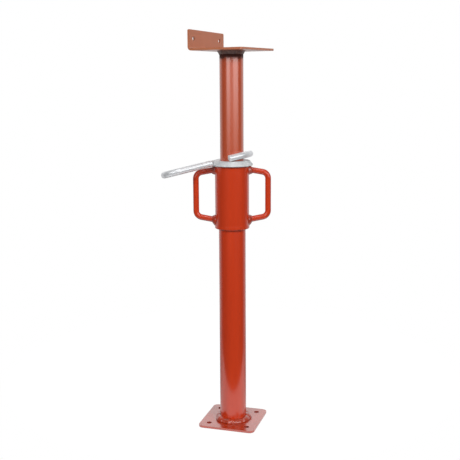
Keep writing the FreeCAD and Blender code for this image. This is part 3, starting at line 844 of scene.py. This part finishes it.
class PROP_OT_stage(bpy.types.Operator):
    """Set the white studio: floor, soft lamps and camera"""

    bl_idname = "steel_prop.stage"
    bl_label = "Set the stage"

    camera_azimuth = math.radians(16.8)
    camera_fall = math.radians(10.246)
    camera_roll = math.radians(-0.338)
    camera_place = (0.5089, -1.703, 0.7671)
    camera_lens = 63.63
    camera_sensor = 36.0
    floor_radius = 0.6
    floor_place = (0, 0.35, -0.0004)
    floor_grey = 0.5
    floor_glow_share = 0.9
    floor_white = 1.09
    floor_white_behind = 0.5
    floor_fade = (-0.02, 0.2)
    lamp_target = (0, 0, 0.5)

    def execute(self, context):
        self.make_floor()
        self.make_world()
        self.make_lamps()
        self.make_camera()
        context.scene.view_settings.view_transform = "Standard"
        return {"FINISHED"}

    def seen_directly(self, tree):
        """One for rays that show the background: straight, mirrored or passing through."""
        path = add_node(tree, "ShaderNodeLightPath")
        total = None
        for ray in ("Is Camera Ray", "Is Glossy Ray", "Is Transmission Ray"):
            if total is None:
                total = path.outputs[ray]
                continue
            larger = add_node(tree, "ShaderNodeMath", operation="MAXIMUM")
            tree.links.new(total, larger.inputs[0])
            tree.links.new(path.outputs[ray], larger.inputs[1])
            total = larger.outputs[0]
        return total

    def away_from_camera(self, rise=0.0):
        """The level direction in which the camera looks, or one that rises from it."""
        return (-math.sin(self.camera_azimuth), math.cos(self.camera_azimuth), rise)

    def floor_glow(self, tree):
        """White for the camera; for mirrored rays bright in front of the object and dimmer behind it."""
        place = add_node(tree, "ShaderNodeTexCoord")
        depth = add_node(tree, "ShaderNodeVectorMath", operation="DOT_PRODUCT")
        depth.inputs[1].default_value = self.away_from_camera()
        fade = add_node(tree, "ShaderNodeMapRange", interpolation_type="SMOOTHSTEP")
        fade.inputs["From Min"].default_value = self.floor_fade[0]
        fade.inputs["From Max"].default_value = self.floor_fade[1]
        fade.inputs["To Min"].default_value = self.floor_white
        fade.inputs["To Max"].default_value = self.floor_white_behind
        path = add_node(tree, "ShaderNodeLightPath")
        strength = add_node(tree, "ShaderNodeMix", data_type="FLOAT")
        strength.inputs["B"].default_value = self.floor_white
        tree.links.new(place.outputs["Object"], depth.inputs[0])
        tree.links.new(depth.outputs["Value"], fade.inputs["Value"])
        tree.links.new(fade.outputs["Result"], strength.inputs["A"])
        tree.links.new(path.outputs["Is Camera Ray"], strength.inputs["Factor"])
        return strength.outputs["Result"]

    def make_floor(self):
        start_alone()
        place = Matrix.Rotation(self.camera_azimuth, 3, "Z") @ Vector(self.floor_place)
        bpy.ops.mesh.primitive_circle_add(
            vertices=96, radius=self.floor_radius, fill_type="NGON", location=place)
        floor = bpy.context.object
        floor.name = "studio_floor"
        settle(floor)
        material = bpy.data.materials.new("studio_white")
        material.use_nodes = True
        tree = material.node_tree
        tree.nodes.clear()
        diffuse = add_node(tree, "ShaderNodeBsdfDiffuse")
        diffuse.inputs["Color"].default_value = (self.floor_grey, self.floor_grey, self.floor_grey, 1)
        glow = add_node(tree, "ShaderNodeEmission")
        tree.links.new(self.floor_glow(tree), glow.inputs["Strength"])
        share = add_node(tree, "ShaderNodeMath", operation="MULTIPLY")
        share.inputs[1].default_value = self.floor_glow_share
        mix = add_node(tree, "ShaderNodeMixShader")
        output = add_node(tree, "ShaderNodeOutputMaterial")
        tree.links.new(self.seen_directly(tree), share.inputs[0])
        tree.links.new(share.outputs[0], mix.inputs["Fac"])
        tree.links.new(diffuse.outputs["BSDF"], mix.inputs[1])
        tree.links.new(glow.outputs["Emission"], mix.inputs[2])
        tree.links.new(mix.outputs["Shader"], output.inputs["Surface"])
        floor.data.materials.append(material)

    def make_world(self):
        """A white background, with a darker room round the object for its reflections."""
        world = bpy.data.worlds.new("studio")
        bpy.context.scene.world = world
        world.use_nodes = True
        tree = world.node_tree
        sky = tree.nodes["Background"]
        sky.inputs["Color"].default_value = (1, 1, 1, 1)
        path = add_node(tree, "ShaderNodeLightPath")
        strength = add_node(tree, "ShaderNodeMix", data_type="FLOAT")
        strength.inputs["B"].default_value = 1.0
        tree.links.new(self.room(tree), strength.inputs["A"])
        tree.links.new(path.outputs["Is Camera Ray"], strength.inputs["Factor"])
        tree.links.new(strength.outputs["Result"], sky.inputs["Strength"])

    def room(self, tree):
        """The room's brightness by direction: each wall fades in along its own direction.

        A wall has a direction, where its fade starts and ends, and its brightness there.
        """
        walls = (
            ("backdrop", self.away_from_camera(), 0.0, 0.75, 0.07, 0.75),
            ("upper backdrop", self.away_from_camera(0.45), 1.02, 1.085, 0.0, 1.3),
            ("ceiling", (0, 0, 1), 0.45, 0.95, 0.0, 0.2),
            ("table", (0, 0, -1), 0.45, 0.95, 0.0, 0.8),
        )
        place = add_node(tree, "ShaderNodeTexCoord")
        brightest = None
        for name, direction, start, end, low, high in walls:
            facing = add_node(tree, "ShaderNodeVectorMath", operation="DOT_PRODUCT", label=name)
            facing.inputs[1].default_value = direction
            fade = add_node(tree, "ShaderNodeMapRange", interpolation_type="SMOOTHSTEP")
            fade.inputs["From Min"].default_value = start
            fade.inputs["From Max"].default_value = end
            fade.inputs["To Min"].default_value = low
            fade.inputs["To Max"].default_value = high
            tree.links.new(place.outputs["Generated"], facing.inputs[0])
            tree.links.new(facing.outputs["Value"], fade.inputs["Value"])
            if brightest is None:
                brightest = fade.outputs["Result"]
                continue
            brighter = add_node(tree, "ShaderNodeMath", operation="MAXIMUM")
            tree.links.new(brightest, brighter.inputs[0])
            tree.links.new(fade.outputs["Result"], brighter.inputs[1])
            brightest = brighter.outputs["Value"]
        return brightest

    def make_lamps(self):
        """Softboxes that light the prop, and panels that it mirrors.

        A lamp has its swing from the camera in degrees, its distance, height, width and length in metres,
        its power in watts, and whether it lights the prop up.
        """
        target = Vector(self.lamp_target)
        lamps = (
            ("left_softbox", -30, 4.0, 2.4, 2.6, 1.4, 110, True),
            ("right_softbox", 40, 4.0, 2.4, 3.0, 1.4, 126, True),
            ("left_panel", -31, 4.0, 1.77, 2.7, 2.45, 33, False),
            ("right_panel", 40, 4.0, 1.77, 4.2, 2.45, 49, False),
            ("middle_panel", 0, 4.0, 0.87, 1.3, 0.65, 1.5, False),
            ("high_panel", 5, 1.6, 3.0, 1.4, 0.8, 11, False),
        )
        for name, swing, distance, height, width, length, power, lights_up in lamps:
            angle = self.camera_azimuth + math.radians(swing)
            place = Vector((math.sin(angle) * distance, -math.cos(angle) * distance, height))
            data = bpy.data.lights.new(name, "AREA")
            data.shape = "RECTANGLE"
            data.size, data.size_y = width, length
            data.energy = power
            lamp = bpy.data.objects.new(name, data)
            lamp.location = place
            lamp.rotation_euler = (target - place).to_track_quat("-Z", "Y").to_euler()
            lamp.visible_diffuse = lights_up
            lamp.visible_glossy = not lights_up
            bpy.context.scene.collection.objects.link(lamp)

    def make_camera(self):
        data = bpy.data.cameras.new("camera")
        data.lens = self.camera_lens
        data.sensor_width = self.camera_sensor
        camera = bpy.data.objects.new("camera", data)
        turn = Matrix.Rotation(self.camera_azimuth, 3, "Z")
        turn @= Matrix.Rotation(math.pi / 2 - self.camera_fall, 3, "X")
        turn @= Matrix.Rotation(self.camera_roll, 3, "Z")
        camera.location = self.camera_place
        camera.rotation_euler = turn.to_euler()
        bpy.context.scene.collection.objects.link(camera)
        bpy.context.scene.camera = camera


STEPS = (
    PROP_OT_finishes, PROP_OT_plates, PROP_OT_outer_tube, PROP_OT_sleeve, PROP_OT_handles, PROP_OT_washer,
    PROP_OT_pin, PROP_OT_welds, PROP_OT_stage,
)


class PROP_PT_panel(bpy.types.Panel):
    """Lists the prop's sizes, colours and steps"""

    bl_label = "Steel Prop"
    bl_idname = "PROP_PT_panel"
    bl_space_type = "VIEW_3D"
    bl_region_type = "UI"
    bl_category = "Steel Prop"

    def draw(self, context):
        for group in (context.scene.prop_sizes, context.scene.prop_colours):
            for name in group.__annotations__:
                self.layout.prop(group, name)
        for step in STEPS:
            self.layout.operator(step.bl_idname)


CLASSES = (PropSizes, PropColours, *STEPS, PROP_PT_panel)


def register():
    for cls in CLASSES:
        bpy.utils.register_class(cls)
    bpy.types.Scene.prop_sizes = PointerProperty(type=PropSizes)
    bpy.types.Scene.prop_colours = PointerProperty(type=PropColours)


def unregister():
    del bpy.types.Scene.prop_colours
    del bpy.types.Scene.prop_sizes
    for cls in reversed(CLASSES):
        bpy.utils.unregister_class(cls)


def main():
    register()
    bpy.ops.steel_prop.finishes()
    bpy.ops.steel_prop.plates()
    bpy.ops.steel_prop.outer_tube()
    bpy.ops.steel_prop.sleeve()
    bpy.ops.steel_prop.handles()
    bpy.ops.steel_prop.washer()
    bpy.ops.steel_prop.pin()
    bpy.ops.steel_prop.welds()
    bpy.ops.steel_prop.stage()


if __name__ == "__main__":
    main()
